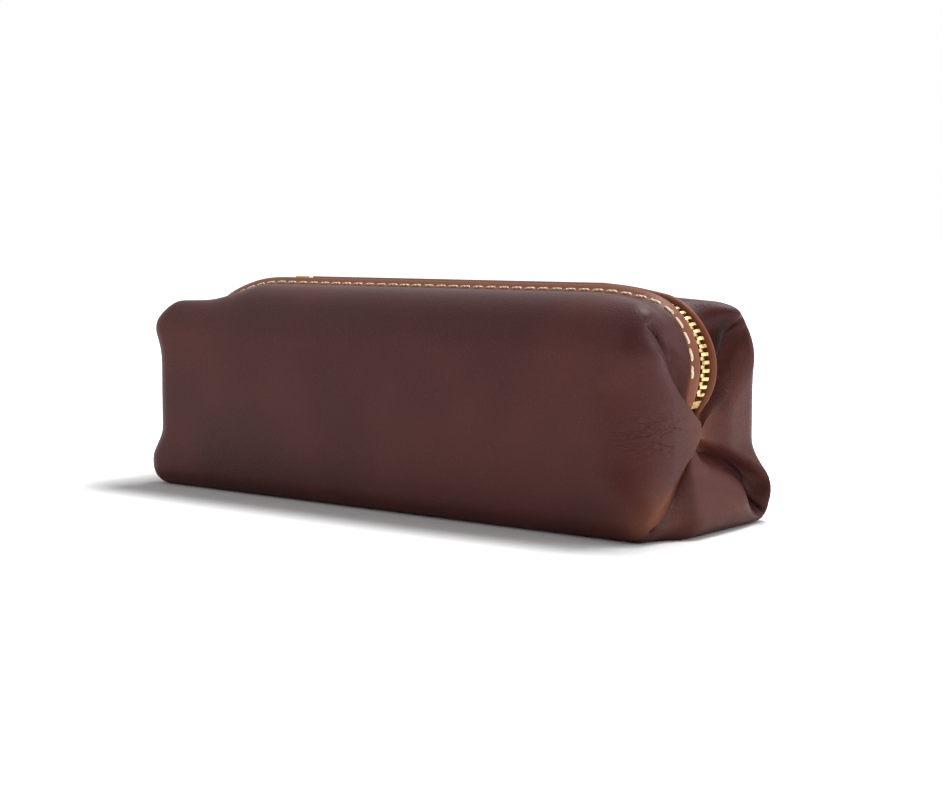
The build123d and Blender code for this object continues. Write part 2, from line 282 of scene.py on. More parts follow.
NEAR_FRONT = End(
    nose=NEAR_NOSE,
    face=Face(reach=96.2, ear=0.8, ear_height=51, flare=2.2, flare_top=28, corner=17),
    tip=Tip(across=0.6, height=29.5, blunt=5.0, depth=0.0, tuck=1.5),
    sag=Sag(amount=0.6, start=70, end=92, middle=20, width=9),
    strip_fall=-1.5,
    upper=Fold(depth=3.4, overlap=1.8, width=2.6, roll=1.0, bow=-2.6, late=0.6, dent=4.4),
    lower=Fold(depth=4.4, overlap=2.2, width=2.2, roll=0.8, bow=1.8),
)
NEAR_REAR = End(
    nose=NEAR_NOSE,
    face=Face(reach=97.6, ear=0.6, ear_height=51, flare=6.4, flare_top=24, corner=8),
    tip=Tip(across=-1.0, height=27.5, blunt=0.5, depth=2.6, tuck=3.0),
    sag=Sag(amount=1.5, start=56, end=78, middle=12, width=18),
    strip_fall=3.4,
    upper=Fold(depth=9.0, overlap=1.2, width=14.0, roll=9.0, bow=-3.2, late=0.6),
    lower=Fold(depth=8.0, overlap=2.4, width=4.0, roll=6.0, bow=-4.6, late=1.5, dent=5.0),
)
FAR_FRONT = End(
    nose=FAR_NOSE,
    face=Face(reach=96.0, ear=3.4, ear_height=54, flare=4.6, flare_top=19, corner=8),
    tip=Tip(across=1.0, height=29.5, blunt=2.0, depth=0.0, tuck=1.5),
    sag=Sag(amount=3.8, start=56, end=80, middle=18, width=9),
    strip_fall=0.8,
    upper=Fold(depth=4.5, overlap=2.0, width=3.0, roll=2.5),
    lower=Fold(depth=5.0, overlap=2.0, width=3.0, roll=2.0, bow=1.0),
)
FAR_REAR = End(
    nose=FAR_NOSE,
    face=Face(reach=96.9, ear=2.0, ear_height=51, flare=5.0, flare_top=24, corner=9),
    tip=Tip(across=-1.0, height=28.5, blunt=1.0, depth=2.4, tuck=3.0),
    sag=Sag(amount=3.6, start=56, end=82, middle=16, width=12),
    strip_fall=0.8,
    upper=Fold(depth=6.0, overlap=1.6, width=4.0, roll=4.0, bow=-1.0),
    lower=Fold(depth=6.0, overlap=2.0, width=3.4, roll=2.5, bow=-2.0),
)

BASE_EDGE = 103.2  # X of the bottom panel's outer edge
BASE_CORNER = 5.0
SHARE_RADIUS = 20.3  # of the turn by which walls and panels close in on the pinch


def share_at(v):
    """How far walls and panels stand from the pinch, 1 along the plain stretch and near 0 at the pinch."""
    angle = NOSE_TURN * np.clip((v - V_FLAT) / (V_ARC - V_FLAT), 0, 1)
    share = 1 - SHARE_RADIUS * (1 - np.cos(angle)) / (TOP - PINCH[1])
    return blend(share, 0.03, np.clip((v - V_ARC) / (V_RUN - V_ARC), 0, 1))


def grip_at(share):
    """How far the folds have taken hold: 0 along the plain stretch, 1 on the ends."""
    return smooth(0.02, 0.2, 1 - share)


def round_corner(face, radius, share, reach):
    """X of a wall that turns over a corner onto the end face as its share of the way out falls from 1."""
    cosine = np.clip(1 - (1 - share) * reach / radius, 0, 1)
    return face - radius + radius * np.sqrt(1 - cosine**2)


def wall_points(v, share, reach, y, z, side, style):
    """The wall: straight, over an upright corner, then in towards the pinch."""
    corner_y = style.tip.across * side - style.tip.blunt
    wall_y = corner_y + np.hypot((y - corner_y) * share, style.tip.blunt * (1 - share))
    wall_z = blend(style.tip.height, z, share)
    face = style.face.at(wall_z, smooth(0.35, 0.8, share))
    face = face - style.tip.depth * smooth(0.5, 0.1, share) - style.tip.tuck * smooth(0.1, 0.0, share)
    radius = blend(blend(8.0, style.face.corner, smooth(52, 40, wall_z)), 7.0, smooth(22, 8, wall_z))
    start = blend(CORE_X, face - radius, np.clip(v / V_FLAT, 0, 1))
    return np.where(v < V_FLAT, start, round_corner(face, radius, share, reach)), wall_y, wall_z


def top_points(v, share, y, z, wall_x, style):
    """The top panel: over the bend, the strip beside the zip closing in on the teeth."""
    angle, nose_x, crest_z = style.nose.at(v)
    side_share = smooth(11, 25, y)
    turned = smooth(0, math.radians(50), angle)
    closing = blend(SEAM_CLOSE, LIP_CLOSE, smooth(SEAM, LIP, y)) * smooth(17, SEAM + 1, y)
    closed_y = y - closing * turned
    lip_share = 0.7 + 0.3 * smooth(0.04, 0.45, share)
    near_y = blend(closed_y * lip_share, closed_y, smooth(0.2, 0.6, share))
    top_y = blend(near_y, y * share, side_share)
    fall = style.strip_fall * smooth(5.4, 9.8, y) * turned * (1 - side_share)
    sunk = (TOP - z) * (1 - side_share) + fall
    top_z = blend(crest_z, blend(PINCH[1], z, share), side_share) - sunk * np.cos(angle)
    top_x = blend(nose_x, wall_x, side_share) - sunk * np.sin(angle)
    return top_x, top_y, top_z


def base_points(v, share, y, z, wall_x, style):
    """The bottom panel: over the bottom edge, then leaning in towards the pinch."""
    edge = blend(style.face.foot(), BASE_EDGE, smooth(28, 14, y))
    start = blend(CORE_X, edge - BASE_CORNER, np.clip(v / V_FLAT, 0, 1))
    base_x = np.where(v < V_FLAT, start, round_corner(edge, BASE_CORNER, share, PINCH[1]))
    lean = np.clip((0.8 - share) / 0.8, 0, 1)
    base_x = blend(base_x, PINCH_X - 1.0, lean)
    base_x = blend(base_x, wall_x, smooth(12, 27, y) * smooth(0.5, 0.9, share))
    return base_x, y * share, blend(PINCH[1], z, share)


def fold_over(run, share, grip, wall, panel, fold_run, sign, fold, guard):
    """Join a wall and a panel along one fold.

    Gives the share of the panel in each point, the point where the panel has any, and how far the
    fold's line moves everything near it.
    """
    corner = section_at(np.array(fold_run)) - PINCH
    across = np.array([corner[1], -corner[0]]) * sign / np.hypot(*corner)
    q = (run - fold_run) * sign / FOLD_HALF
    clear = across[0] * (panel[1] - PINCH[0]) + across[1] * (panel[2] - PINCH[1])
    clear = np.maximum(clear, 0)
    dented = fold.dent * bump(0.88, 0.14, share) * bump(1.5, 4.5, clear)
    panel_x = panel[0] - (fold.depth * 0.8 * bump(0, fold.width, clear) + dented) * grip * guard
    inside = np.clip(q, -1, 1)
    ease = smooth(-1, 1, inside)
    shift = -fold.overlap * np.sin(np.pi * inside) * grip * smooth(0, 0.3, share)
    sink = fold.depth * bump(0.1, 0.4, inside) * grip * (np.abs(q) < 1)
    arch = np.sin(np.pi * np.clip(share, 0, 1) ** fold.late)
    bow = fold.bow * arch * bump(0, 12, run - fold_run) * grip
    folded = (
        blend(wall[0], panel_x, ease) - sink * (1 - 0.8 * ease),
        blend(wall[1], panel[1], ease) + shift * across[0],
        blend(wall[2], panel[2], ease) + shift * across[1],
    )
    return q > -1, folded, (bow * across[0], bow * across[1])


def end_points(run, v, style, side):
    """Points of the leather at the +X end by rows (v) and columns (run); side is -1 in front, 1 behind."""
    run, v = np.meshgrid(run, v)
    place = section_at(run)
    y, z = place[..., 0], place[..., 1]
    share = share_at(v)
    reach = np.hypot(y - PINCH[0], z - PINCH[1])
    wall_x, wall_y, wall_z = wall_points(v, share, reach, y, z, side, style)
    top = top_points(v, share, y, z, wall_x, style)
    base = base_points(v, share, y, z, wall_x, style)

    # beside each wall the sheet rolls over its edge, turns under and comes out again
    grip = grip_at(share)
    upper = (RUN_TOP, -1, style.upper)
    lower = (RUN_BASE, 1, style.lower)
    rolled = wall_x.copy()
    for fold_run, sign, fold in (upper, lower):
        roll = fold.roll * smooth(0, 0.4, share) + 0.5
        inward = np.clip(((fold_run - run) * sign - FOLD_HALF) * np.maximum(share, 0.15), 0, roll)
        rolled -= (roll - np.sqrt(roll**2 - (roll - inward) ** 2)) * grip
    points = [rolled, wall_y.copy(), wall_z.copy()]
    wall = (rolled, wall_y, wall_z)
    guards = (smooth(9.0, 13.0, y), 1.0)
    for (fold_run, sign, fold), panel, guard in zip((upper, lower), (top, base), guards):
        chosen, folded, bow = fold_over(run, share, grip, wall, panel, fold_run, sign, fold, guard)
        points = [np.where(chosen, new, old) for new, old in zip(folded, points)]
        points[1] = points[1] + bow[0]
        points[2] = points[2] + bow[1]

    # the top sinks towards the end, and everything gathers out of sight behind the pinch
    x, out_y, out_z = points
    out_z = out_z - style.sag.at(x, y, out_z)
    gather = smooth(V_RUN, 1, v)
    x = blend(x, GATHER_X, gather)
    out_y = blend(out_y, 0.0, gather)
    out_z = blend(out_z, PINCH[1], gather)
    return np.stack([x, side * out_y, out_z], axis=-1)


def worn_and_highlight_at(run, v, front):
    """How far the leather's oils have been pushed out of it by bending, from 0 to 1, together with painted
    highlight on the strip beside the zip, the ridges and the lower corners.
    """
    run, v = np.meshgrid(run, v)
    place = section_at(run)
    share = share_at(v)
    grip = grip_at(share)
    # each term lightens where the leather is bent and also paints highlight where light falls on the strip,
    # the ridges and the foot
    strip = smooth(RUN_SEAM + 1.6, RUN_SEAM - 0.2, run) * blend(1.0, 0.8, smooth(0.95, 0.5, share))
    upper_ridge = bump(RUN_TOP + 5.0, 2.2, run) * (0.2 if front else 0.3)
    if front:
        lower_ridge = bump(RUN_BASE - 4.2, 2.2, run) * 0.5
    else:
        lower_ridge = bump(RUN_BASE - 7.0, 5.0, run) * 0.14
    tongue = smooth(RUN_TOP, RUN_TOP - 6, run) * (0.16 if front else 0.0)
    bottom = smooth(RUN_BASE, RUN_BASE + 5, run) * 0.2
    point = smooth(0.6, 0.05, share) * 0.45
    ends = np.maximum.reduce([upper_ridge, lower_ridge, tongue, bottom, point]) * grip
    low = smooth(24, 2, place[..., 1]) * bump(0.9, 0.3, share) * smooth(0.0, V_FLAT * 1.6, v)
    foot = low * blend(0.15, 0.5 if front else 0.25, smooth(RUN_BASE + 1, RUN_BASE - 1, run))
    return np.clip(np.maximum(strip, ends) + foot, 0, 1)


def fold_shade_at(run, v, front):
    """Painted shade: 1 deep inside the folds and in the pocket by the rear lower fold, 0 on the open
    leather.
    """
    run, v = np.meshgrid(run, v)
    share = share_at(v)
    grip = grip_at(share)
    upper = bump(RUN_TOP - 0.6, 2.2, run) if front else bump(RUN_TOP - 3.5, 4.5, run)
    lower = bump(RUN_BASE + 0.6, 2.2, run)
    pocket = bump(RUN_BASE + 4.0, 4.5, run) * bump(0.8, 0.25, share) * (0 if front else 1)
    return np.maximum(np.maximum(upper, lower), pocket) * grip


END_ROWS = np.concatenate(
    [
        np.linspace(0, V_FLAT, 12, endpoint=False),
        np.linspace(V_FLAT, V_ARC, 50, endpoint=False),
        np.linspace(V_ARC, 1, 22),
    ]
)
CORE_ROWS = np.linspace(-CORE_X, CORE_X, 38)[1:-1]


def half_sheet(run, side, near, far):
    """Rows of points over the whole length for the columns of the front or rear half."""
    right = end_points(run, END_ROWS, near, side)
    left = end_points(run, END_ROWS, far, side)[::-1] * MIRRORED
    place = section_at(run)
    core = np.empty((len(CORE_ROWS), len(run), 3))
    core[..., 0] = CORE_ROWS[:, None]
    core[..., 1] = side * place[None, :, 0]
    core[..., 2] = place[None, :, 1]
    return np.concatenate([left, core, right])


def inner_end(place, side, nose):
    """Rows of the plain inside at one end: it narrows and gathers behind the pinch."""
    v = END_ROWS[:, None]
    narrow = smooth(0.8, 0.1, v)
    x = blend(CORE_X, 80.0, np.clip(v / 0.35, 0, 1)) * np.ones(len(place))
    y = np.abs(place[None, :, 0]) * narrow
    height = place[None, :, 1]
    lowered = height - (nose.drop + 3) * smooth(0, 0.15, v) * smooth(30, 60, height)
    z = blend(PINCH[1], lowered, narrow)
    return np.stack([x, side * y, z], axis=-1)


def inner_sheet(side, count=26):
    """Plain inside of the leather, from the middle of the base up to the hem beside the zip."""
    outer = np.linspace(RUN_SEAM + 2, SECTION_RUN[-1], count)[::-1]
    place = section_at(np.concatenate([outer, [0.0]]))
    towards = PINCH - place
    place = place + towards / np.linalg.norm(towards, axis=1)[:, None] * LEATHER * 1.3
    place[-1] = (LIP, TOP - HEM)
    core = np.empty((len(CORE_ROWS), len(place), 3))
    core[..., 0] = CORE_ROWS[:, None]
    core[..., 1] = side * place[None, :, 0]
    core[..., 2] = place[None, :, 1]
    left = inner_end(place, side, FAR_NOSE)[::-1] * MIRRORED
    return np.concatenate([left, core, inner_end(place, side, NEAR_NOSE)])


def grid_piece(name, points):
    """A grid primitive whose points are moved to rows and columns of places, in millimetres."""
    rows, cols = points.shape[:2]
    bpy.ops.mesh.primitive_grid_add(x_subdivisions=cols - 1, y_subdivisions=rows - 1, size=1)
    piece = bpy.context.object
    piece.name = name
    piece.data.name = name
    flat = (points.reshape(-1, 3) * MM).astype(np.float32)
    piece.data.vertices.foreach_set("co", flat.ravel())
    piece.data.update()
    return piece


def close_up(piece):
    """Merge the points where a piece's own edges meet and turn its faces outwards."""
    bpy.ops.object.mode_set(mode="EDIT")
    bpy.ops.mesh.select_all(action="SELECT")
    bpy.ops.mesh.remove_doubles(threshold=MERGED)
    bpy.ops.mesh.normals_make_consistent(inside=False)
    bpy.ops.object.mode_set(mode="OBJECT")
    piece.select_set(False)


def mark(piece, name, values):
    """Store one number for each point of a piece, for its material."""
    layer = piece.data.attributes.new(name, "FLOAT", "POINT")
    layer.data.foreach_set("value", values.astype(np.float32).ravel())


def over_length(values, run, front):
    """A mark's rows over the whole length, from its rows at one end."""
    at_end = values(run, END_ROWS, front)
    core = np.repeat(at_end[:1], len(CORE_ROWS), axis=0)
    return np.concatenate([at_end[::-1], core, at_end])


def leather_sheet():
    """The case's one sheet of leather: outside from lip to lip, turned hems, and a plain inside."""
    run = columns()
    front = half_sheet(run, -1, NEAR_FRONT, FAR_FRONT)
    rear = half_sheet(run, 1, NEAR_REAR, FAR_REAR)
    inner_front = inner_sheet(-1)
    inner_rear = inner_sheet(1)
    loop = [front, rear[:, -2::-1], inner_rear[:, ::-1], inner_front[:, 1:], front[:, :1]]
    points = np.concatenate(loop, axis=1)
    piece = grid_piece("leather_sheet", points)
    inside = np.zeros((len(points), inner_rear.shape[1] + inner_front.shape[1] - 1))
    # the sunk mark holds painted shade inside the folds
    for name, values in (("worn_and_highlight", worn_and_highlight_at), ("sunk", fold_shade_at)):
        fore = over_length(values, run, True)
        back = over_length(values, run, False)
        mark(piece, name, np.concatenate([fore, back[:, -2::-1], inside, fore[:, :1]], axis=1))
    close_up(piece)
    piece.select_set(True)
    bpy.ops.object.shade_smooth()
    piece.select_set(False)
    return piece


# ------------------------------------------------------------------ zip tapes
TAPE_TOP = 3.8  # below the lips' crest
TAPE_THICKNESS = 0.6
TAPE_INNER = 0.9  # from the middle, where the zip is closed
TAPE_OUTER = 7.2
TAPE_OUTER_BENT = 5.6
SPREAD = 1.4  # how far a row stands off where the zip is open
TAPE_END = 3.4  # half its width where it runs in behind the pinch
TAPE_TUCK = 3.0  # how far its end drops to close the gap there
TAPE_ROWS = END_ROWS[END_ROWS <= V_RUN]


def tape_end(side, nose, spread, meeting):
    """Cross-sections of one tape at one end, rows by four corners. The tapes meet at a share of the way."""
    angle, crest_x, crest_z = nose.at(TAPE_ROWS)
    bent = smooth(0, math.radians(40), angle)
    inner = (TAPE_INNER + spread) * smooth(meeting, meeting - 0.08, TAPE_ROWS)
    outer = blend(blend(TAPE_OUTER, TAPE_OUTER_BENT, bent), TAPE_END, smooth(V_ARC, V_RUN, TAPE_ROWS))
    tucked = crest_z - TAPE_TUCK * smooth(V_ARC, V_RUN, TAPE_ROWS)
    corners = []
    for y, depth in ((inner, 0), (outer, 0), (outer, TAPE_THICKNESS), (inner, TAPE_THICKNESS)):
        under = TAPE_TOP + depth
        place = [crest_x - under * np.sin(angle), side * y, tucked - under * np.cos(angle)]
        corners.append(np.stack(place, axis=-1))
    return np.stack(corners, axis=1)


def zip_tape(name, side):
    """One tape of the zip, parted from the other to the left of the slider."""
    right = tape_end(side, NEAR_NOSE, 0.0, V_ARC)
    left = tape_end(side, FAR_NOSE, SPREAD, V_ARC + 0.1)[::-1] * MIRRORED
    core = np.repeat(right[:1], len(CORE_ROWS), axis=0)
    core[..., 0] = CORE_ROWS[:, None]
    apart = SPREAD * smooth(slider_high[0], slider_low[0], CORE_ROWS)
    for corner in (0, 3):
        core[:, corner, 1] += side * apart
    rows = np.concatenate([left, core, right])
    loop = np.concatenate([rows, rows[:, :1]], axis=1)
    piece = grid_piece(name, loop)
    bpy.ops.object.mode_set(mode="EDIT")
    bpy.ops.mesh.select_all(action="SELECT")
    bpy.ops.mesh.remove_doubles(threshold=MERGED)
    bpy.ops.mesh.select_all(action="DESELECT")
    bpy.ops.mesh.select_non_manifold()
    bpy.ops.mesh.edge_face_add()
    bpy.ops.object.mode_set(mode="OBJECT")
    close_up(piece)
    return piece


# ------------------------------------------------------------------ stitching
STITCH_PITCH = 4.8
STITCH_LENGTH = 3.7
STITCH_WIDTH = 0.92
STITCH_SLANT = math.radians(5)
SEAM_END_NEAR = math.radians(114)  # turn of the lips at which a seam ends
SEAM_END_FAR = math.radians(94)


def seam_path(side, near, far, near_end, far_end):
    """Rows of places just inside, along and just outside one seam, between turns at both ends."""
    pair = half_sheet(np.array([RUN_SEAM - 0.5, RUN_SEAM, RUN_SEAM + 0.5]), side, near, far)
    near_angle = near.nose.at(END_ROWS)[0]
    far_angle = far.nose.at(END_ROWS)[0]
    skip_left = int(np.sum((far_angle > far_end) | (END_ROWS > V_ARC)))
    skip_right = int(np.sum((near_angle > near_end) | (END_ROWS > V_ARC)))
    return pair[skip_left : len(pair) - skip_right]


def one_stitch():
    """A stitch on the X axis: a round-ended thread whose ends dip into their holes."""
    bpy.ops.mesh.primitive_uv_sphere_add(
        segments=8, ring_count=8, radius=0.5, rotation=(0, math.pi / 2, 0)
    )
    piece = bpy.context.object
    bpy.ops.object.transform_apply(location=False, rotation=True, scale=False)
    for vertex in piece.data.vertices:
        along = vertex.co.x * 2
        round_share = math.sqrt(max(1 - along**6, 0)) / max(math.sqrt(max(1 - along**2, 0)), 0.05)
        full = min(round_share, 3.0)
        vertex.co.x = along * STITCH_LENGTH / 2 * MM
        vertex.co.y *= full * STITCH_WIDTH * MM
        vertex.co.z = (vertex.co.z * full * 0.7 - 0.3 * along**6 + 0.12) * STITCH_WIDTH * MM
    bpy.ops.object.shade_smooth()
    piece.select_set(False)
    return piece


def seam(name, path, side):
    """Stitches at an even pitch along a path, joined into one piece."""
    middle = path[:, 1]
    steps = np.linalg.norm(np.diff(middle, axis=0), axis=1)
    travel = np.concatenate([[0], np.cumsum(steps)])
    centre = np.interp(0, middle[:, 0], travel)
    first = math.ceil((STITCH_LENGTH - centre) / STITCH_PITCH)
    last = math.floor((travel[-1] - STITCH_LENGTH - centre) / STITCH_PITCH)
    pattern = one_stitch()
    copies = []
    for count in range(first, last + 1):
        here = centre + count * STITCH_PITCH
        at, before, after, inner, outer = (
            Vector([float(np.interp(where, travel, rows[:, k])) for k in range(3)])
            for where, rows in (
                (here, middle),
                (here - 1.0, middle),
                (here + 1.0, middle),
                (here, path[:, 0]),
                (here, path[:, 2]),
            )
        )
        along = (after - before).normalized()
        up = along.cross(outer - inner).normalized() * side
        across = up.cross(along)
        turned = along * math.cos(STITCH_SLANT) + across * math.sin(STITCH_SLANT)
        sideways = up.cross(turned)
        copy = pattern.copy()
        copy.data = pattern.data.copy()
        bpy.context.collection.objects.link(copy)
        frame_of = Matrix((turned, sideways, up)).transposed().to_4x4()
        copy.matrix_world = Matrix.Translation(at * MM) @ frame_of
        copies.append(copy)
    bpy.data.objects.remove(pattern)
    for copy in copies:
        copy.select_set(True)
    bpy.context.view_layer.objects.active = copies[0]
    bpy.ops.object.join()
    bpy.ops.object.transform_apply(location=True, rotation=True, scale=True)
    piece = bpy.context.object
    piece.name = name
    piece.data.name = name
    piece.select_set(False)
    return piece


# ------------------------------------------------------------------ finishes
class Value:
    """One output of a node in a finish. Arithmetic on it adds Math nodes."""

    def __init__(self, finish, socket):
        self.finish = finish
        self.socket = socket

    def maths(self, operation, *operands):
        return self.finish.node("ShaderNodeMath", {"operation": operation}, dict(enumerate(operands)))

    def __add__(self, other):
        return self.maths("ADD", self, other)

    def __sub__(self, other):
        return self.maths("SUBTRACT", self, other)

    def __mul__(self, other):
        return self.maths("MULTIPLY", self, other)

    __radd__ = __add__


# colours as they look on a screen, 0 to 255
HIDE = (63, 31, 30)
HIDE_WARM = (74, 37, 34)
# tan of bent leather, also used for painted highlight
TAN_AND_HIGHLIGHT = (118, 68, 46)
# painted shade for inside the folds
PAINTED_FOLD_SHADE = (26, 14, 13)
FRECKLE = (100, 62, 54)
CLOTH = (34, 24, 22)
CLOTH_LIT = (62, 46, 40)
THREAD = (206, 182, 146)
THREAD_LIT = (238, 222, 194)
BRASS = (222, 190, 132)
BRASS_DULL = (140, 108, 70)

# place and size, in millimetres, of the patches of creases on the near front end
TIP_CREASES = ((93, -20, 29), (14, 15, 10))
FOLD_PUCKERS = ((96, -21, 56), (6, 6, 7))

SOCKETS = {"roughness": "Roughness", "metallic": "Metallic", "specular_ior_level": "Specular IOR Level"}


class Finish:
    """A material around its own shader."""

    def __init__(self, name, **constants):
        self.material = bpy.data.materials.new(name)
        self.material.use_nodes = True
        self.tree = self.material.node_tree
        self.shader = self.tree.nodes["Principled BSDF"]
        for socket, value in constants.items():
            self.give(self.shader.inputs[SOCKETS[socket]], value)

    def give(self, socket, value):
        if isinstance(value, Value):
            self.tree.links.new(value.socket, socket)
        else:
            socket.default_value = value

    def node(self, kind, settings=None, inputs=None, output=0):
        """Add a node: its settings first, then the values or links of its sockets."""
        node = self.tree.nodes.new(kind)
        for setting, value in (settings or {}).items():
            setattr(node, setting, value)
        for socket, value in (inputs or {}).items():
            self.give(node.inputs[socket], value)
        return Value(self, node.outputs[output])

    def vector(self, operation, *operands):
        return self.node("ShaderNodeVectorMath", {"operation": operation}, dict(enumerate(operands)))

    def length(self, vector):
        return self.node("ShaderNodeVectorMath", {"operation": "LENGTH"}, {0: vector}, output="Value")

    def places(self):
        return self.node("ShaderNodeTexCoord", output="Object")

    def stored(self, name):
        return self.node("ShaderNodeAttribute", {"attribute_name": name}, output="Fac")

    def noise(self, scale, detail=3.0, roughness=0.5, where=None):
        inputs = {"Scale": scale, "Detail": detail, "Roughness": roughness}
        inputs["Vector"] = where or self.places()
        return self.node("ShaderNodeTexNoise", inputs=inputs)

    def cells(self, scale):
        inputs = {"Vector": self.places(), "Scale": scale}
        return self.node("ShaderNodeTexVoronoi", {"feature": "F1"}, inputs)

    def stretched(self, scale):
        """Object places scaled by axis."""
        inputs = {"Vector": self.places(), "Scale": scale}
        return self.node("ShaderNodeMapping", {"vector_type": "POINT"}, inputs)

    def twill(self, scale):
        """Slanting bands."""
        settings = {"wave_type": "BANDS", "bands_direction": "DIAGONAL"}
        return self.node("ShaderNodeTexWave", settings, {"Vector": self.places(), "Scale": scale})

    def near(self, place, size):
        """1 at a place in millimetres, 0 past a distance of about its size."""
        moved = self.vector("SUBTRACT", self.places(), [c * MM for c in place])
        scaled = self.vector("MULTIPLY", moved, [1 / (c * MM) for c in size])
        far = self.length(scaled)
        return self.between(far, 1.0, 0.2)

    def between(self, value, low, high):
        """0 at low, 1 at high, smooth between."""
        inputs = {"Value": value, "From Min": low, "From Max": high}
        return self.node("ShaderNodeMapRange", {"interpolation_type": "SMOOTHSTEP"}, inputs)

    def lines(self, pattern):
        """1 along thin lines through the middle of a pattern's range."""
        off = self.node("ShaderNodeMath", {"operation": "ABSOLUTE"}, {0: pattern - 0.5})
        return self.between(off, 0.08, 0.0)

    def mix(self, share, first, second):
        inputs = {0: share, 6: first, 7: second}
        return self.node("ShaderNodeMix", {"data_type": "RGBA"}, inputs, output=2)

    def bumps(self, height, distance, strength=1.0):
        """Raise the surface by a height of 0 to 1 times a distance in millimetres."""
        inputs = {"Height": height, "Distance": distance * MM, "Strength": strength}
        self.give(self.shader.inputs["Normal"], self.node("ShaderNodeBump", inputs=inputs, output="Normal"))


def shade(red, green, blue):
    """A colour as it looks on a screen, 0 to 255, turned into light."""
    parts = [c / 255 for c in (red, green, blue)]
    return [c / 12.92 if c <= 0.04045 else ((c + 0.055) / 1.055) ** 2.4 for c in parts] + [1.0]


def pull_up_leather():
    """Dark oiled leather that turns tan where it is bent, with painted highlight on its ridges and the
    strip beside the zip, painted shade inside the folds, a fine grain and creases by the folds.
    """
    finish = Finish("pull_up_leather", specular_ior_level=0.13)
    worn_and_highlight = finish.stored("worn_and_highlight")
    # sunk: painted shade inside the folds
    sunk = finish.stored("sunk")
    clouds = finish.noise(24.0, 2.0, 0.5)
    streaks = finish.noise(1.0, 3.0, 0.55, finish.stretched((30.0, 60.0, 160.0)))
    grain = finish.noise(1700.0, 2.0, 0.6)
    pores = finish.cells(1500.0)
    warm = finish.between(clouds, 0.36, 0.66)
    hide = finish.mix(warm, shade(*HIDE), shade(*HIDE_WARM))
    # tan where the leather is bent, plus painted highlight on the ridges, the strip and the foot
    bent = finish.between(worn_and_highlight * 0.8 + streaks * 0.3, 0.2, 0.95)
    colour = finish.mix(bent, hide, shade(*TAN_AND_HIGHLIGHT))
    # painted shade darkens the leather inside the folds
    colour = finish.mix(sunk * 0.85, colour, shade(*PAINTED_FOLD_SHADE))
    freckles = finish.between(grain, 0.58, 0.74) * 0.3
    finish.give(finish.shader.inputs["Base Color"], finish.mix(freckles, colour, shade(*FRECKLE)))
    finish.give(finish.shader.inputs["Roughness"], 0.46 + clouds * 0.06)
    long_lines = finish.lines(finish.noise(1.0, 4.0, 0.6, finish.stretched((50.0, 50.0, 210.0))))
    short_lines = finish.lines(finish.noise(230.0, 3.0, 0.6))
    creased = long_lines * finish.near(*TIP_CREASES)
    puckered = short_lines * finish.near(*FOLD_PUCKERS)
    height = grain * 0.35 + pores * 0.35 + streaks * 0.6 - creased * 3.2 - puckered * 2.4
    finish.bumps(height, 0.22, 0.7)
    return finish.material


def zip_cloth():
    """Dark twill of the zip's tapes."""
    finish = Finish("zip_cloth", roughness=0.85)
    twill = finish.twill(620.0)
    finish.give(finish.shader.inputs["Base Color"], finish.mix(twill, shade(*CLOTH), shade(*CLOTH_LIT)))
    finish.bumps(twill, 0.12)
    return finish.material


def brass(name, roughness, tarnish):
    """Cast or drawn brass with a little tarnish in soft patches."""
    finish = Finish(name, metallic=1.0)
    spots = finish.noise(700.0, 2.0)
    dull = finish.between(spots, 0.45, 0.75) * tarnish
    finish.give(finish.shader.inputs["Base Color"], finish.mix(dull, shade(*BRASS), shade(*BRASS_DULL)))
    finish.give(finish.shader.inputs["Roughness"], roughness + dull * 0.3)
    return finish.material


def waxed_thread():
    """Cream thread with its twist."""
    finish = Finish("waxed_thread", roughness=0.6)
    twist = finish.twill(420.0)
    finish.give(finish.shader.inputs["Base Color"], finish.mix(twist, shade(*THREAD), shade(*THREAD_LIT)))
    finish.bumps(twist, 0.1)
    return finish.material


def dress(piece, slot_name, material, *stands_for):
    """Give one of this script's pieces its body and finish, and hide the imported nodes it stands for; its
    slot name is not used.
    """
    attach(piece, "case")
    if stands_for:
        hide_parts(*stands_for)
    piece.data.materials.append(material)


def repaint(node, material):
    """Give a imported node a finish."""
    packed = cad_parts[node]
    packed.data.materials.clear()
    packed.data.materials.append(material)


def make_case():
    dress(leather_sheet(), "leather", pull_up_leather(), "leather_body")
    cloth = zip_cloth()
    dress(zip_tape("front_tape_woven", -1), "tape", cloth, "front_zip_tape")
    dress(zip_tape("rear_tape_woven", 1), "tape", cloth, "rear_zip_tape")
    thread = waxed_thread()
    front_path = seam_path(-1, NEAR_FRONT, FAR_FRONT, SEAM_END_NEAR, SEAM_END_FAR)
    rear_path = seam_path(1, NEAR_REAR, FAR_REAR, NOSE_TURN, SEAM_END_FAR)
    dress(seam("front_seam", front_path, -1), "thread", thread, "front_stitching")
    dress(seam("rear_seam", rear_path, 1), "thread", thread, "rear_stitching")


def finish_metal():
    cast = brass("cast_brass", 0.3, 0.5)
    drawn = brass("drawn_brass", 0.34, 0.9)
    for node in ("front_zip_teeth", "rear_zip_teeth", "front_top_stop", "rear_top_stop", "bottom_stop"):
        repaint(node, drawn)
    for node in ("slider_body", "slider_crown", "pull_tab"):
        repaint(node, cast)


make_case()
finish_metal()


# ------------------------------------------------------------------ stage
WORLD_LIGHT = 0.26
WHITE = (1.0, 1.0, 1.0, 1)
AIM = (0, 0, 0.03)
GLOW_START = 6.0  # from the case, where the floor starts to turn white by itself
GLOW_FULL = 50.0


def background(nodes, strength):
    """Even white light from all round."""
    node = nodes.new("ShaderNodeBackground")
    node.inputs["Color"].default_value = WHITE
    node.inputs["Strength"].default_value = strength
    return node


def either(tree, first, second):
    """Output that is 1 for either of two kinds of ray."""
    node = tree.nodes.new("ShaderNodeMath")
    node.operation = "ADD"
    node.use_clamp = True
    tree.links.new(first, node.inputs[0])
    tree.links.new(second, node.inputs[1])
    return node.outputs[0]


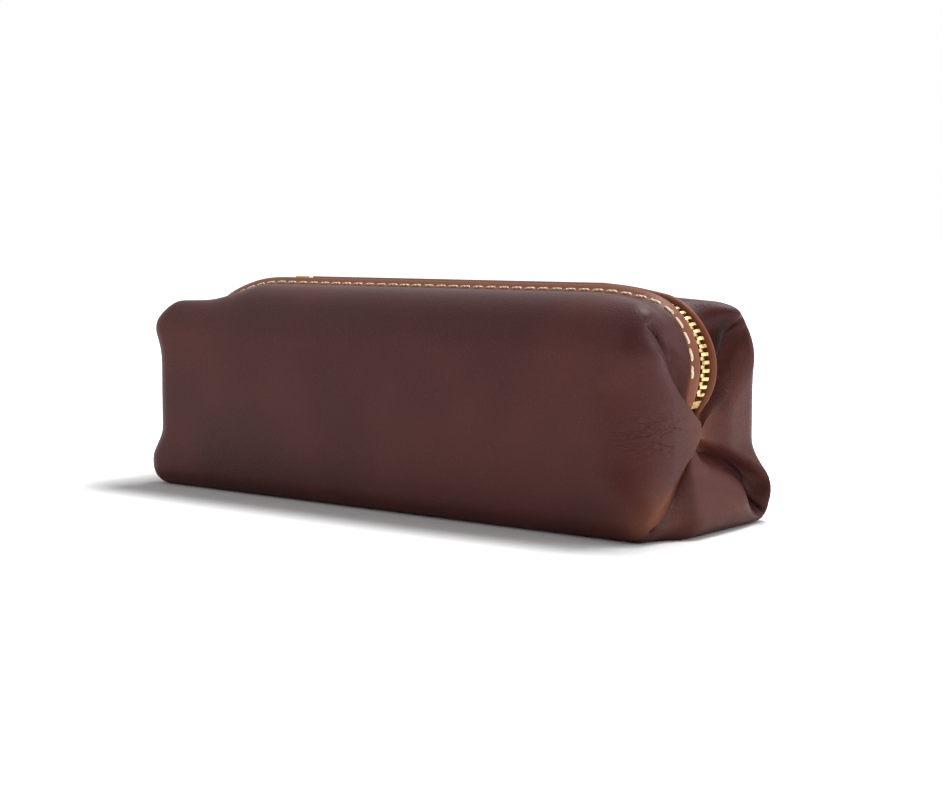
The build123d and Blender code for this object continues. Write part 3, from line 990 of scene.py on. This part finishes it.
def studio_world():
    """White to the camera and in reflections, pale even light for everything else."""
    world = bpy.data.worlds.new("studio")
    bpy.context.scene.world = world
    world.use_nodes = True
    tree = world.node_tree
    light = tree.nodes["Background"]
    light.inputs["Color"].default_value = WHITE
    light.inputs["Strength"].default_value = WORLD_LIGHT
    seen = background(tree.nodes, 1.0)
    path = tree.nodes.new("ShaderNodeLightPath")
    shown = either(tree, path.outputs["Is Camera Ray"], path.outputs["Is Transmission Ray"])
    mix = tree.nodes.new("ShaderNodeMixShader")
    tree.links.new(either(tree, shown, path.outputs["Is Glossy Ray"]), mix.inputs["Fac"])
    tree.links.new(light.outputs["Background"], mix.inputs[1])
    tree.links.new(seen.outputs["Background"], mix.inputs[2])
    tree.links.new(mix.outputs["Shader"], tree.nodes["World Output"].inputs["Surface"])


def softbox(name, place, aim, size, energy):
    """A plain square lamp of white light aimed at a place; lengths in metres."""
    data = bpy.data.lights.new(name, "AREA")
    data.size = size
    data.energy = energy
    lamp = bpy.data.objects.new(name, data)
    lamp.location = place
    way = Vector(aim) - Vector(place)
    lamp.rotation_euler = way.to_track_quat("-Z", "Y").to_euler()
    bpy.context.collection.objects.link(lamp)


def white_floor():
    """A matt floor that is white to the camera and keeps the case's shadow; it glows from nothing beside
    the case to full white farther out, painted light that cuts the shadow short.
    """
    finish = Finish("floor_white", roughness=0.9)
    finish.give(finish.shader.inputs["Base Color"], (0.9, 0.9, 0.9, 1))
    corner = (case_high[0] * MM, case_high[1] * MM, 0)
    beside = finish.vector("SUBTRACT", finish.vector("ABSOLUTE", finish.places()), corner)
    out = finish.length(finish.vector("MAXIMUM", beside, (0, 0, 0)))
    glow = finish.between(out, GLOW_START * MM, GLOW_FULL * MM)
    finish.give(finish.shader.inputs["Emission Color"], finish.mix(glow, (0, 0, 0, 1), WHITE))
    finish.give(finish.shader.inputs["Emission Strength"], 1.0)
    return finish.material


def stage():
    bpy.ops.mesh.primitive_plane_add(size=8)
    floor = bpy.context.object
    floor.name = "floor"
    floor.data.materials.append(white_floor())
    floor.select_set(False)
    studio_world()
    softbox("softbox_top", (0.1, 0.36, 0.8), AIM, 0.4, 8)
    softbox("softbox_left", (-0.7, -0.6, 0.5), AIM, 0.7, 1.5)
    softbox("softbox_right", (0.85, 0.45, 0.5), AIM, 0.6, 4)


def camera():
    data = bpy.data.cameras.new("camera")
    data.lens = 68.8
    data.sensor_width = 36
    view = bpy.data.objects.new("camera", data)
    view.location = (0.3568, -0.430, 0.0847)
    view.rotation_euler = (math.pi / 2 - 0.095, 0, 0.673)
    bpy.context.collection.objects.link(view)
    bpy.context.scene.camera = view


stage()
camera()
bpy.context.scene.view_settings.view_transform = "Standard"
